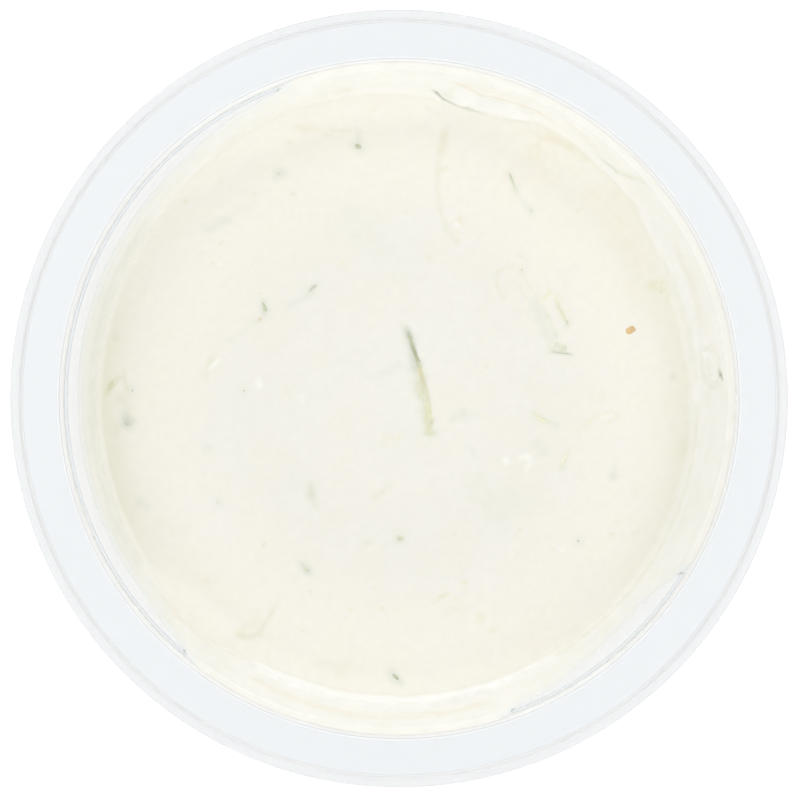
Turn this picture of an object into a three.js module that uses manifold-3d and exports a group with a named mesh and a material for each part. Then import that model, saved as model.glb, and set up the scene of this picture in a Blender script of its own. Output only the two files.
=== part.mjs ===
// Tzatziki in a clear round deli tub: a thin tub with a wide sealing flange and a turned-out lip,
// filled part of the way up with dip, and a strip of grated cucumber lying half sunk in the dip.
// Millimetres, +Z up, origin on the table at the middle of the tub's base.
import * as THREE from "three";
import { mergeVertices } from "three/addons/utils/BufferGeometryUtils.js";
import Module from "manifold-3d";

// ---------------------------------------------------------------- driving dimensions

const LIP_RADIUS = 59; // to the cut edge of the lip
const TUB_HEIGHT = 42; // table to flange top
const WALL = 0.35; // thickness of the plastic everywhere
const FLANGE_RADIUS = 57.3; // middle of the skirt that hangs from the flange
const MOUTH_RADIUS = 50.9; // middle of the wall just under the flange
const SKIRT_DROP = 2.8; // flange down to lip
const LEDGE_DROP = 2.2; // flange down to the stacking ledge
const LEDGE_WIDTH = 0.45;
const BAND_SLOPE = 0.15; // the band above the ledge and the skirt lean out by this much
const WALL_DRAFT = THREE.MathUtils.degToRad(17); // lean of the long wall below the ledge
const BASE_CORNER = 4; // rounding between wall and base
const LEDGE_CORNER = 0.25; // and at the stacking ledge
const MOUTH_CORNER = 1; // between the mouth and the flange
const FLANGE_CORNER = 0.6; // between the flange and the skirt
const LIP_CORNER = 0.5; // between the skirt and the lip
const RECESS_CORNER = 1; // at both edges of the slope round the recess under the base
const RECESS_RADIUS = 31.5; // the middle of the base is pushed up, leaving a ring to stand on
const RECESS_HEIGHT = 1;

const LEVEL_DROP = 14.5; // flange top down to the dip
const CLEARANCE = 0.3; // between the dip and whatever touches it
const BANK = {
  low: 0.5, // height the dip clings up the wall where it is least
  high: 2.8, // and where it is most, on two opposite sides
  reach: 3.2, // how far in from the wall the dip starts to rise
  heading: THREE.MathUtils.degToRad(78), // one of the two high sides
};
const SWELL = {
  height: 0.22, // largest rise or fall left by pouring
  lengths: [9, 14, 11, 17], // each wave's length over 2 pi
};
const SURFACE_RINGS = 6; // rings of facets over the flat middle of the dip
const BANK_RINGS = 3; // and over the bank

const STRIP = {
  length: 16.2,
  tipWidth: 0.8, // the dark end, with the skin
  buttWidth: 1.9, // the pale end
  thickness: 1.1,
  bow: 0.55, // sideways bend at the middle
  middle: [3.0, 2.7], // x and y on the dip
  heading: THREE.MathUtils.degToRad(-77), // from the tip towards the butt
  lift: 0.1, // its middle line above the dip's level
  widening: 0.7, // below 1 it reaches its full width early
  sides: 8,
  steps: 10,
};

const SEGMENTS = 60; // round the tub
const ARC_STEP = 1.5; // longest step along a rounded corner

// ---------------------------------------------------------------- outlines

// A line through corners [r, z, rounding], with each rounding drawn as an arc.
function roundedLine(corners) {
  const at = corners.map(([r, z]) => new THREE.Vector2(r, z));
  const line = [at[0]];
  for (let i = 1; i < at.length - 1; i++) {
    const back = at[i - 1].clone().sub(at[i]).normalize();
    const ahead = at[i + 1].clone().sub(at[i]).normalize();
    const half = Math.acos(back.dot(ahead)) / 2;
    const rounding = corners[i][2];
    const centre = back.clone().add(ahead).normalize().multiplyScalar(rounding / Math.sin(half)).add(at[i]);
    const from = back.multiplyScalar(rounding / Math.tan(half)).add(at[i]).sub(centre);
    const turn = (Math.PI - 2 * half) * Math.sign(-from.cross(ahead));
    const steps = 1 + Math.ceil((rounding * Math.abs(turn)) / ARC_STEP);
    for (let k = 0; k <= steps; k++) {
      line.push(from.clone().rotateAround(new THREE.Vector2(), (-turn * k) / steps).add(centre));
    }
  }
  line.push(at.at(-1));
  return line;
}

// The line moved sideways, to the left of the way it runs. Its first point stays on the axis.
function offsetLine(line, distance) {
  return line.map((point, i) => {
    const before = line[Math.max(i - 1, 0)];
    const after = line[Math.min(i + 1, line.length - 1)];
    const inTo = point.clone().sub(before).normalize();
    const outOf = after.clone().sub(point).normalize();
    const along = inTo.clone().add(outOf).normalize();
    const mitre = distance / along.dot(i ? inTo : outOf);
    const moved = new THREE.Vector2(-along.y, along.x).multiplyScalar(mitre).add(point);
    if (i === 0) moved.x = 0;
    return moved;
  });
}

// The middle of the plastic, from the axis at the base, up the wall and out to the lip.
function tubMiddle() {
  const base = WALL / 2;
  const flange = TUB_HEIGHT - WALL / 2;
  const ledge = flange - LEDGE_DROP;
  const wallTop = MOUTH_RADIUS - BAND_SLOPE - LEDGE_WIDTH;
  const wallFoot = wallTop - (ledge - base) * Math.tan(WALL_DRAFT);
  const lip = flange - SKIRT_DROP;
  return roundedLine([
    [0, base + RECESS_HEIGHT],
    [RECESS_RADIUS - RECESS_HEIGHT, base + RECESS_HEIGHT, RECESS_CORNER],
    [RECESS_RADIUS, base, RECESS_CORNER],
    [wallFoot, base, BASE_CORNER],
    [wallTop, ledge, LEDGE_CORNER],
    [MOUTH_RADIUS - BAND_SLOPE, ledge, LEDGE_CORNER],
    [MOUTH_RADIUS, flange, MOUTH_CORNER],
    [FLANGE_RADIUS, flange, FLANGE_CORNER],
    [FLANGE_RADIUS + BAND_SLOPE, lip, LIP_CORNER],
    [LIP_RADIUS, lip],
  ]);
}

// The start of a line, ended where it first climbs past a height.
function lineUpTo(line, height) {
  const cut = line.findIndex((point) => point.y > height);
  const [low, high] = [line[cut - 1], line[cut]];
  return [...line.slice(0, cut), low.clone().lerp(high, (height - low.y) / (high.y - low.y))];
}

// ---------------------------------------------------------------- solids

// Turns an outline of [r, z] round the Z axis.
function revolved(outline) {
  return new THREE.LatheGeometry(outline, SEGMENTS).rotateX(Math.PI / 2);
}

function tubGeometry() {
  const middle = tubMiddle();
  return revolved([...offsetLine(middle, -WALL / 2), ...offsetLine(middle, WALL / 2).reverse()]);
}

// Slow swells left by pouring, as a height at a place on the dip.
function swell(x, y) {
  const [a, b, c, d] = SWELL.lengths;
  return (SWELL.height / 2) * (Math.sin(x / a + Math.cos(y / b)) + Math.cos(y / c - x / d));
}

// How far the dip climbs above its level, from nothing at the inside of the bank to most at the wall.
function bankHeight(x, y, edge) {
  const nearness = THREE.MathUtils.clamp(1 - (edge - Math.hypot(x, y)) / BANK.reach, 0, 1);
  const highSide = (1 + Math.cos(2 * (Math.atan2(y, x) - BANK.heading))) / 2;
  return THREE.MathUtils.lerp(BANK.low, BANK.high, highSide) * nearness ** 2;
}

// Radii of the rings over the dip's surface, from the wall in to the axis.
function surfaceRadii(edge) {
  const flat = edge - BANK.reach;
  const bank = Array.from({ length: BANK_RINGS }, (_, i) => edge - ((i + 1) / BANK_RINGS) * BANK.reach);
  const middle = Array.from({ length: SURFACE_RINGS }, (_, i) => flat * (1 - (i + 1) / SURFACE_RINGS));
  return [...bank, ...middle];
}

// The dip fills the tub's inside up to its level. Its edge follows the sloping wall as it climbs.
function dipGeometry() {
  const level = TUB_HEIGHT - LEVEL_DROP;
  const side = lineUpTo(offsetLine(tubMiddle(), WALL / 2 + CLEARANCE), level);
  const edge = side.at(-1).x;
  const surface = surfaceRadii(edge).map((r) => new THREE.Vector2(r, level));
  const dip = revolved([...side, ...surface]);
  const place = dip.getAttribute("position");
  for (let i = 0; i < place.count; i++) {
    const [x, y, z] = [place.getX(i), place.getY(i), place.getZ(i)];
    if (z < level - CLEARANCE) continue;
    const rise = swell(x, y) + bankHeight(x, y, edge);
    const spread = 1 + (rise * Math.tan(WALL_DRAFT)) / edge;
    place.setXYZ(i, x * spread, y * spread, level + rise);
  }
  return dip;
}

// A strip of cucumber, grown by a margin on every side: a tapering bar, bowed sideways.
function stripGeometry(margin) {
  const { length, tipWidth, buttWidth, thickness } = STRIP;
  const bar = new THREE.CylinderGeometry(1, 1, length + 2 * margin, STRIP.sides, STRIP.steps);
  const place = bar.getAttribute("position");
  for (let i = 0; i < place.count; i++) {
    const along = THREE.MathUtils.clamp(place.getY(i) / length + 0.5, 0, 1);
    const halfWidth = THREE.MathUtils.lerp(tipWidth, buttWidth, along ** STRIP.widening) / 2 + margin;
    const halfDepth = THREE.MathUtils.lerp(tipWidth, thickness, along) / 2 + margin;
    const sideways = STRIP.bow * Math.sin(Math.PI * along);
    place.setXYZ(i, place.getY(i), place.getX(i) * halfWidth + sideways, place.getZ(i) * halfDepth);
  }
  bar.index.array.reverse(); // swapping the axes turned its faces in
  return bar.rotateZ(STRIP.heading).translate(...STRIP.middle, TUB_HEIGHT - LEVEL_DROP + STRIP.lift);
}

// ---------------------------------------------------------------- cutting

const wasm = await Module();
wasm.setup();

function toSolid(geometry) {
  const bare = geometry.clone();
  bare.deleteAttribute("normal");
  bare.deleteAttribute("uv");
  const merged = mergeVertices(bare, 1e-3);
  return new wasm.Manifold(
    new wasm.Mesh({
      numProp: 3,
      vertProperties: new Float32Array(merged.getAttribute("position").array),
      triVerts: new Uint32Array(merged.index.array),
    }),
  );
}

function toGeometry(solid) {
  const { vertProperties, triVerts } = solid.getMesh();
  return new THREE.BufferGeometry()
    .setAttribute("position", new THREE.BufferAttribute(vertProperties, 3))
    .setIndex(new THREE.BufferAttribute(triVerts, 1));
}

// ---------------------------------------------------------------- the part

const clearPlastic = new THREE.MeshStandardMaterial({
  color: 0xf0f5f8,
  roughness: 0.08,
  metalness: 0,
  transparent: true,
  opacity: 0.3,
});
const yogurt = new THREE.MeshStandardMaterial({ color: 0xf3f1e5, roughness: 0.3, metalness: 0 });
const cucumber = new THREE.MeshStandardMaterial({ color: 0xa9ad74, roughness: 0.4, metalness: 0 });

function named(name, geometry, material) {
  const mesh = new THREE.Mesh(geometry, material);
  mesh.name = name;
  return mesh;
}

const pocketed = toSolid(dipGeometry()).subtract(toSolid(stripGeometry(CLEARANCE)));

const part = new THREE.Group();
part.add(
  named("tub", tubGeometry(), clearPlastic),
  named("dip", toGeometry(pocketed), yogurt),
  named("cucumber_strip", stripGeometry(0), cucumber),
);

export default part;
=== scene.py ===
# Tzatziki in a clear deli tub: the fine surfaces, the film of dip on the wall, and the bits in the dip.
# Lengths are in millimetres and angles in degrees; build() turns millimetres into metres.
import math

import bmesh
import bpy
import numpy as np
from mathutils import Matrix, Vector


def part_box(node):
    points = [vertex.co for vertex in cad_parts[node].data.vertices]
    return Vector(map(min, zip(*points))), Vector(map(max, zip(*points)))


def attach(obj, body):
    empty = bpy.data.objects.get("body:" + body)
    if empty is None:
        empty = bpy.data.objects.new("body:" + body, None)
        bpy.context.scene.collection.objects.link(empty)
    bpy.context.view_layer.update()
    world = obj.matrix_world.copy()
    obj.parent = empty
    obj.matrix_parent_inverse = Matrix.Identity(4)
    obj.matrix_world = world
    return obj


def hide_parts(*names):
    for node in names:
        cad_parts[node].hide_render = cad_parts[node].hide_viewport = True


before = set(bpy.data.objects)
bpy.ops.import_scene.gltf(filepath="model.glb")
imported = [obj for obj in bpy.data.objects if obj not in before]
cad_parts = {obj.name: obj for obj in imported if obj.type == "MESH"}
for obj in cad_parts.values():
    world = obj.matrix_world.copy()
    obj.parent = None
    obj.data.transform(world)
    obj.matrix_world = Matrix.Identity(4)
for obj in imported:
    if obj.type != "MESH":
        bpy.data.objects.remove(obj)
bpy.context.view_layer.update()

MM = 0.001

# ---------------------------------------------------------------- the tub, as in the frame

tub_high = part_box("tub")[1]
LIP_RADIUS = tub_high.x / MM  # to the cut edge of the lip
TUB_HEIGHT = tub_high.z / MM  # floor to flange top
WALL = 0.35  # thickness of the plastic
FLANGE_RADIUS = LIP_RADIUS - 1.7  # middle of the skirt that hangs from the flange
MOUTH_RADIUS = LIP_RADIUS - 8.1  # middle of the wall just under the flange
SKIRT_DROP = 2.8  # flange down to lip
LEDGE_DROP = 2.2  # flange down to the stacking ledge
LEDGE_WIDTH = 0.45
BAND_SLOPE = 0.15  # the band above the ledge and the skirt lean out by this much
LEAN = math.radians(17)  # of the long wall below the ledge
WALL_DRAFT = math.tan(LEAN)
RECESS_RADIUS = 31.5  # the middle of the base is pushed up inside this radius
RECESS_HEIGHT = 1.0
RECESS_CORNER = 1.0  # the corners are the roundings between the stretches of the tub
BASE_CORNER = 4.0
LEDGE_CORNER = 0.25
MOUTH_CORNER = 1.0
FLANGE_CORNER = 0.6
LIP_CORNER = 0.5
LEVEL = TUB_HEIGHT - 14.5  # of the dip
TUB_SEGMENTS = 512
TUB_STRETCH = 12  # longest face along the tub's outline
RIM_STEPS = 8  # round the cut edge of the lip
ARC_STEP = 0.16  # longest step along a rounding
MOST_STEPS = 12  # along a rounding


def rounded_line(corners):
    """A line of (r, z) through corners (r, z, rounding), each rounding drawn as an arc."""
    at = [Vector(c[:2]) for c in corners]
    line = [at[0]]
    for i in range(1, len(at) - 1):
        back = (at[i - 1] - at[i]).normalized()
        ahead = (at[i + 1] - at[i]).normalized()
        half = back.angle(ahead) / 2
        rounding = corners[i][2]
        centre = at[i] + (back + ahead).normalized() * rounding / math.sin(half)
        start = at[i] + back * rounding / math.tan(half) - centre
        turn = math.copysign(math.pi - 2 * half, back.cross(ahead))
        steps = 2 + min(MOST_STEPS, math.ceil(rounding * abs(turn) / ARC_STEP))
        for k in range(steps + 1):
            a = -turn * k / steps
            c, s = math.cos(a), math.sin(a)
            line.append(centre + Vector((start.x * c - start.y * s, start.x * s + start.y * c)))
    line.append(at[-1])
    return line


def offset_line(line, distance):
    """The line moved to the left of the way it runs. Its first point stays on the axis."""
    moved = []
    for i, point in enumerate(line):
        before = line[max(i - 1, 0)]
        after = line[min(i + 1, len(line) - 1)]
        into = (point - before).normalized() if i else (after - point).normalized()
        out = (after - point).normalized() if i < len(line) - 1 else into
        along = (into + out).normalized()
        moved.append(point + Vector((-along.y, along.x)) * distance / along.dot(into))
    moved[0].x = 0
    return moved


def tub_middle():
    """The middle of the plastic, from the axis at the base, up the wall and out to the lip."""
    base = WALL / 2
    flange = TUB_HEIGHT - WALL / 2
    ledge = flange - LEDGE_DROP
    wall_top = MOUTH_RADIUS - BAND_SLOPE - LEDGE_WIDTH
    lip = flange - SKIRT_DROP
    return rounded_line([
        (0, base + RECESS_HEIGHT),
        (RECESS_RADIUS - RECESS_HEIGHT, base + RECESS_HEIGHT, RECESS_CORNER),
        (RECESS_RADIUS, base, RECESS_CORNER),
        (wall_top - (ledge - base) * WALL_DRAFT, base, BASE_CORNER),
        (wall_top, ledge, LEDGE_CORNER),
        (MOUTH_RADIUS - BAND_SLOPE, ledge, LEDGE_CORNER),
        (MOUTH_RADIUS, flange, MOUTH_CORNER),
        (FLANGE_RADIUS, flange, FLANGE_CORNER),
        (FLANGE_RADIUS + BAND_SLOPE, lip, LIP_CORNER),
        (LIP_RADIUS, lip),
    ])


def spaced(line, gap):
    """The line with points added so that none of its stretches is longer than gap."""
    points = [line[0]]
    for a, b in zip(line, line[1:]):
        steps = max(1, math.ceil((b - a).length / gap))
        points += [a.lerp(b, (k + 1) / steps) for k in range(steps)]
    return points


MIDDLE = tub_middle()
WALL_IN = offset_line(MIDDLE, WALL / 2)

# ---------------------------------------------------------------- meshes

SHARP = math.radians(50)  # an edge bent more than this is shaded sharp
SAME_POINT = 1e-3  # points closer together than this are merged


def build(name, points, faces, slot, material, replaces=(), colours=None):
    """A piece of the object from points in millimetres."""
    mesh = bpy.data.meshes.new(name)
    mesh.from_pydata([tuple(MM * c for c in p) for p in points], [], faces)
    if colours is not None:
        layer = mesh.color_attributes.new("tone", "FLOAT_COLOR", "POINT")
        layer.data.foreach_set("color", np.asarray(colours, np.float32).ravel())
    work = bmesh.new()
    work.from_mesh(mesh)
    bmesh.ops.remove_doubles(work, verts=work.verts, dist=SAME_POINT * MM)
    bmesh.ops.recalc_face_normals(work, faces=work.faces)
    work.to_mesh(mesh)
    work.free()
    mesh.materials.append(material)
    mesh.shade_smooth()
    mesh.set_sharp_from_angle(angle=SHARP)
    piece = bpy.data.objects.new(name, mesh)
    bpy.context.scene.collection.objects.link(piece)
    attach(piece, "root")
    if replaces:
        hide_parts(*replaces)
    return piece


def revolve(outline, segments):
    """Points and faces of an outline of (r, z) turned round the axis. Its ends are on the axis."""
    points = []
    for k in range(segments):
        a = 2 * math.pi * k / segments
        points += [(p.x * math.cos(a), p.x * math.sin(a), p.y) for p in outline]
    n = len(outline)
    faces = []
    for k in range(segments):
        here, there = k * n, (k + 1) % segments * n
        faces += [(here + i, there + i, there + i + 1, here + i + 1) for i in range(n - 1)]
    return points, faces


def join_rings(rings):
    """Points and faces of a closed skin over rings. A ring may have twice the points of its neighbour."""
    points, faces, starts = [], [], []
    for ring in rings:
        starts.append(len(points))
        points += [tuple(p) for p in ring]
    for i in range(len(rings) - 1):
        a, b = starts[i], starts[i + 1]
        na, nb = len(rings[i]), len(rings[i + 1])
        if na == nb:
            faces += [(a + k, a + (k + 1) % na, b + (k + 1) % nb, b + k) for k in range(na)]
            continue
        few, many, n = (a, b, na) if na < nb else (b, a, nb)
        for k in range(n):
            k2 = (k + 1) % n
            m = [many + (2 * k + j) % (2 * n) for j in range(3)]
            faces += [(few + k, m[0], m[1]), (few + k, m[1], few + k2), (few + k2, m[1], m[2])]
    faces.append(tuple(range(starts[0], starts[0] + len(rings[0]))))
    faces.append(tuple(range(starts[-1], starts[-1] + len(rings[-1]))))
    return points, faces


def join_skins(skins):
    """Points and faces of several skins, each given as its rings."""
    points, faces = [], []
    for rings in skins:
        more, skin = join_rings(rings)
        faces += [tuple(len(points) + i for i in face) for face in skin]
        points += more
    return points, faces


# ---------------------------------------------------------------- materials

COLOUR_SPOT, GLOSS_SPOT, SHADE_SPOT, PIMPLE = 5.0, 2.5, 1.3, 0.5  # sizes of the spots in food
GLOSS_SPREAD = 0.06  # how far the roughness of food varies
NOISE_LOW, NOISE_HIGH = 0.3, 0.7  # most values of a noise texture lie between these


def linear(r, g, b):
    """A colour seen as 0 to 255, as the linear values that shaders use, by the sRGB curve."""
    shares = [c / 255 for c in (r, g, b)]
    return tuple(c / 12.92 if c <= 0.04 else ((c + 0.055) / 1.055) ** 2.4 for c in shares) + (1,)


def new_material(name):
    material = bpy.data.materials.new(name)
    material.use_nodes = True
    return material, material.node_tree.nodes, material.node_tree.links


def plastic_material(name, clearness, colour):
    """Thin glossy plastic. It bends light little, as its two faces run side by side."""
    material, nodes, _ = new_material(name)
    shader = nodes["Principled BSDF"]
    shader.inputs["Base Color"].default_value = colour
    shader.inputs["Transmission Weight"].default_value = clearness
    shader.inputs["IOR"].default_value = 1.13
    shader.inputs["Roughness"].default_value = 0.09
    shader.inputs["Coat Weight"].default_value = 0.65
    shader.inputs["Coat Roughness"].default_value = 0.05
    return material


def food_material(name, roughness, grain, relief):
    """Wet food in its mesh's own colours. Grain varies them, and relief is the height of the pimples."""
    material, nodes, links = new_material(name)
    shader = nodes["Principled BSDF"]
    shader.inputs["IOR"].default_value = 1.4
    place = nodes.new("ShaderNodeTexCoord").outputs["Object"]

    def noise_at(size, detail):
        node = nodes.new("ShaderNodeTexNoise")
        node.inputs["Scale"].default_value = 1 / (size * MM)
        node.inputs["Detail"].default_value = detail
        links.new(place, node.inputs["Vector"])
        return node.outputs["Fac"]

    def spread(value, low, high):
        node = nodes.new("ShaderNodeMapRange")
        node.inputs["From Min"].default_value = NOISE_LOW
        node.inputs["From Max"].default_value = NOISE_HIGH
        node.inputs["To Min"].default_value = low
        node.inputs["To Max"].default_value = high
        links.new(value, node.inputs["Value"])
        return node.outputs["Result"]

    tone = nodes.new("ShaderNodeAttribute")
    tone.attribute_name = "tone"
    shade = nodes.new("ShaderNodeHueSaturation")
    links.new(tone.outputs["Color"], shade.inputs["Color"])
    links.new(spread(noise_at(COLOUR_SPOT, 3), 1 - 2 * grain, 1 + 2 * grain), shade.inputs["Saturation"])
    links.new(spread(noise_at(SHADE_SPOT, 4), 1 - grain / 4, 1 + grain / 4), shade.inputs["Value"])
    links.new(shade.outputs["Color"], shader.inputs["Base Color"])
    gloss = spread(noise_at(GLOSS_SPOT, 3), roughness - GLOSS_SPREAD, roughness + GLOSS_SPREAD)
    links.new(gloss, shader.inputs["Roughness"])
    bump = nodes.new("ShaderNodeBump")
    bump.inputs["Distance"].default_value = relief * MM
    links.new(noise_at(PIMPLE, 3), bump.inputs["Height"])
    links.new(bump.outputs["Normal"], shader.inputs["Normal"])
    return material


# ---------------------------------------------------------------- tub

CLEAR = 0.84, (0.842, 0.866, 0.882, 1)  # clearness and colour of most of the tub
# The bends and steep sides of the rim are hazier than the rest. Each is (name, inner radius, outer radius,
# lowest point, steepest and flattest slope it has, clearness, colour). A slope is 0 upright and 1 lying flat.
HAZY = [
    ("clear_bend", MOUTH_RADIUS - 0.3, LIP_RADIUS - 1, TUB_HEIGHT - 2.6, 0.93, 0.994, 0.3,
     (0.9, 0.91, 0.92, 1)),
    ("clear_mouth", MOUTH_RADIUS - 0.3, MOUTH_RADIUS + 2, TUB_HEIGHT - 1.6, 0.2, 0.85, 0.3,
     (0.94, 0.94, 0.93, 1)),
    ("clear_wall", MOUTH_RADIUS - 5, MOUTH_RADIUS - 0.4, LEVEL + 3, 0.2, 0.4, 0.82,
     (0.895, 0.905, 0.905, 1)),
    # The skirt's darker grey is painted shade, for the dark line round the outside of the rim.
    ("clear_skirt", FLANGE_RADIUS - 1, LIP_RADIUS + 1, 0, 0, 0.93, 0.42, (0.86, 0.86, 0.86, 1)),
    ("clear_lip", FLANGE_RADIUS + 0.5, LIP_RADIUS + 1, 0, 0.93, 1.1, 0.8, (0.89, 0.905, 0.915, 1)),
]


def make_tub():
    end = MIDDLE[-1] - Vector((WALL / 2, 0))
    turns = [math.pi * (k / RIM_STEPS - 0.5) for k in range(1, RIM_STEPS)]
    rim = [end + Vector((math.cos(a), math.sin(a))) * WALL / 2 for a in turns]
    under = offset_line(MIDDLE, -WALL / 2)
    over = list(reversed(WALL_IN))
    under[-1].x = over[0].x = end.x
    outline = under + rim + over
    shape = revolve(spaced(outline, TUB_STRETCH), TUB_SEGMENTS)
    tub = build("clear_tub", *shape, "clear_plastic", plastic_material("clear_plastic", *CLEAR), ["tub"])
    for index, (name, near, far, low, steep, flat, clearness, colour) in enumerate(HAZY, 1):
        tub.data.materials.append(plastic_material(name, clearness, colour))
        for face in tub.data.polygons:
            slope = abs(face.normal.z)
            if near < face.center.xy.length / MM < far and face.center.z > low * MM and steep <= slope < flat:
                face.material_index = index


# ---------------------------------------------------------------- dip: its shape

DIP_SEGMENTS = 512
SURFACE_RINGS = 128
FILM_RINGS = 52  # up the inside of the film
OUTER_RINGS = 24  # down its outside, in the plastic
INTO_WALL = 0.1  # how far the dip reaches into the plastic
FILM = 0.16  # thickness of the film
BAND_TOP = TUB_HEIGHT - 0.5  # the film reaches no higher
LEDGE_Z = TUB_HEIGHT - LEDGE_DROP
UNROLL = 48  # radius at which angles on the wall are unrolled into lengths, for its patterns
SKIN = offset_line(MIDDLE, WALL / 2 - INTO_WALL)  # the dip's outer skin
SKIN_STEP = 0.1  # along the skin behind the film
LOWER_SKIN = spaced(SKIN, 1.2)  # for the stretch below the dip's level

# Film of dip on the wall: (angle, height of its top edge). Above the ledge it reaches the flange.
FILM_TOP = [
    (0, 41.5), (108, 41.5), (110.5, 40.2), (113, 38.9), (118, 38.2), (126, 37.0), (137, 36.0), (160, 36.4),
    (180, 36.2), (205, 36.2), (214, 36.0), (219, 36.8), (224, 37.8), (228, 38.9), (230.5, 40.2), (233, 41.5),
    (287, 41.5), (289.5, 40.2), (291.5, 38.9), (297, 38.0), (305, 36.2), (313, 34.6), (320, 34.6),
    (324, 36.4), (327, 38.8), (329, 40.2), (331, 41.5),
]
# Where the surface meets the wall: (angle, climb, stand-off). The dip climbs this far above its level, and
# its film stands this much further off the wall there.
SHORE = [
    (0, 0.1, 1.25), (10, 0.1, 1.25), (20, 0.1, 1.2), (27, 0.3, 1.0), (33, 1.2, 0.5), (40, 2.8, 0.1),
    (46, 3.2, 0.05), (52, 3.3, 0.05), (57, 3.9, 0.05), (63, 3.9, 0.1), (67, 2.4, 0.4), (71, 0.7, 0.8),
    (76, 0.5, 0.9), (81, 0.9, 0.6), (86, 2.1, 0.3), (95, 3.0, 0.2), (115, 3.0, 0.1), (130, 1.9, 0.05),
    (140, 0.6, 0.05), (150, 0.5, 0.0), (213, 0.5, 0.0), (219, 1.6, 0.05), (225, 3.0, 0.05), (232, 2.3, 0.1),
    (238, 0.8, 0.2), (242, 0.4, 0.15), (300, 0.3, 0.2), (312, 0.2, 0.4), (330, 0.1, 0.5), (352, 0.1, 0.7),
]
SHORE_REACH = 3.4  # how far in from the wall the surface starts to climb, where it climbs least
SHORE_FADE = 5.0  # height over which the film gets thin again
# The thick coat left on two sides: (angle, height of its crisp top edge), and (angle, how thick it is).
COAT_TOP = [
    (0, 30.0), (12, 30.2), (19, 30.5), (24, 31.9), (29, 32.3), (34, 31.2), (39, 30.8), (45, 31.8), (60, 31.5),
    (66, 31.0), (200, 28.0), (239, 29.2), (242, 31.0), (250, 30.8), (256, 31.2), (262, 32.0), (270, 32.2),
    (278, 31.8), (284, 30.7), (292, 30.1), (300, 29.6), (309, 28.4),
]
COAT = [
    (4, 0.0), (14, 0.3), (38, 0.4), (46, 0.25), (66, 0.0), (200, 0.0), (239.6, 0.0), (241.4, 0.5),
    (295, 0.45), (310, 0.0),
]
# Smooth lumps of dip on the wall: (angle, height, half its width in degrees, half its height, thickness).
LUMPS = [
    (73, 31.0, 7, 1.5, 0.75), (79.5, 31.6, 3, 1.8, 0.6), (5.7, 33.4, 3.4, 3.1, 0.4),
    (3.2, 34.6, 0.9, 1.2, 0.25), (8.2, 31.6, 0.6, 0.6, 0.2), (4, 37.4, 2.2, 1.6, 0.3),
    (10, 31.5, 3, 1.5, 0.25), (228, 33.4, 3.5, 1.2, 0.12), (352, 30.5, 5, 2.0, 0.2),
]
SWELL = 0.22  # most that the surface rises and falls
SWELL_LENGTHS = (9, 14, 11, 17)
LATTICE = 64  # cells after which a ripple repeats
SKIN_OUT = 0.015  # how far the film's top edge stands out of the plastic
SKIN_RUN = 1.2  # length over which it comes out
EDGE_RUN = 1.3  # length over which the film gets thin at its top edge
CORNER_COVER = 0.12  # more film over the corner of the ledge


def around(table, angles, column=1):
    """A column of a table whose first column is an angle, smoothly joined up round the circle."""
    at = np.array([row[0] for row in table], float)
    value = np.array([row[column] for row in table], float)
    at = np.concatenate([at[-1:] - 360, at, at[:1] + 360])
    value = np.concatenate([value[-1:], value, value[:1]])
    angles = np.mod(angles, 360)
    i = np.clip(np.searchsorted(at, angles, "right") - 1, 0, len(at) - 2)
    t = smooth((angles - at[i]) / (at[i + 1] - at[i]))
    return value[i] * (1 - t) + value[i + 1] * t


def smooth(t):
    """0 below 0, 1 above 1, and an even curve between."""
    t = np.clip(t, 0, 1)
    return t * t * (3 - 2 * t)


def ripple(x, y, size, seed):
    """Smooth noise between -1 and 1 whose lumps are about size apart."""
    lattice = np.random.default_rng(seed).uniform(-1, 1, (LATTICE, LATTICE))
    u, v = np.asarray(x) / size, np.asarray(y) / size
    i, j = np.floor(u).astype(int), np.floor(v).astype(int)
    s, t = smooth(u - i), smooth(v - j)
    i2, j2 = (i + 1) % LATTICE, (j + 1) % LATTICE
    i, j = i % LATTICE, j % LATTICE
    low = lattice[i, j] * (1 - s) + lattice[i2, j] * s
    high = lattice[i, j2] * (1 - s) + lattice[i2, j2] * s
    return low * (1 - t) + high * t


def climbing_line():
    """The skin behind the film, from the dip's level up to the flange: radii, heights and lengths so far."""
    skin = spaced(SKIN, SKIN_STEP)
    climb = np.array([(p.x, p.y) for p in skin if p.y > LEVEL and p.x < MOUTH_RADIUS and p.y < BAND_TOP])
    first = climb[0] - (climb[1] - climb[0]) * (climb[0, 1] - LEVEL) / (climb[1, 1] - climb[0, 1])
    climb = np.vstack([first, climb])
    length = np.concatenate([[0], np.cumsum(np.hypot(*np.diff(climb, axis=0).T))])
    even = np.arange(0, length[-1], SKIN_STEP)
    return np.interp(even, length, climb[:, 0]), np.interp(even, length, climb[:, 1]), even


SKIN_R, SKIN_Z, SKIN_LENGTH = climbing_line()


def eased(values, span=5):
    """A row of numbers averaged over its neighbours, kept straight at both ends."""
    before = 2 * values[0] - values[span:0:-1]
    after = 2 * values[-1] - values[-2:-span - 2:-1]
    padded = np.concatenate([before, values, after])
    return np.convolve(padded, np.ones(2 * span + 1) / (2 * span + 1), "same")[span:-span]


FLOW_R, FLOW_Z = eased(SKIN_R), eased(SKIN_Z)


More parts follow.
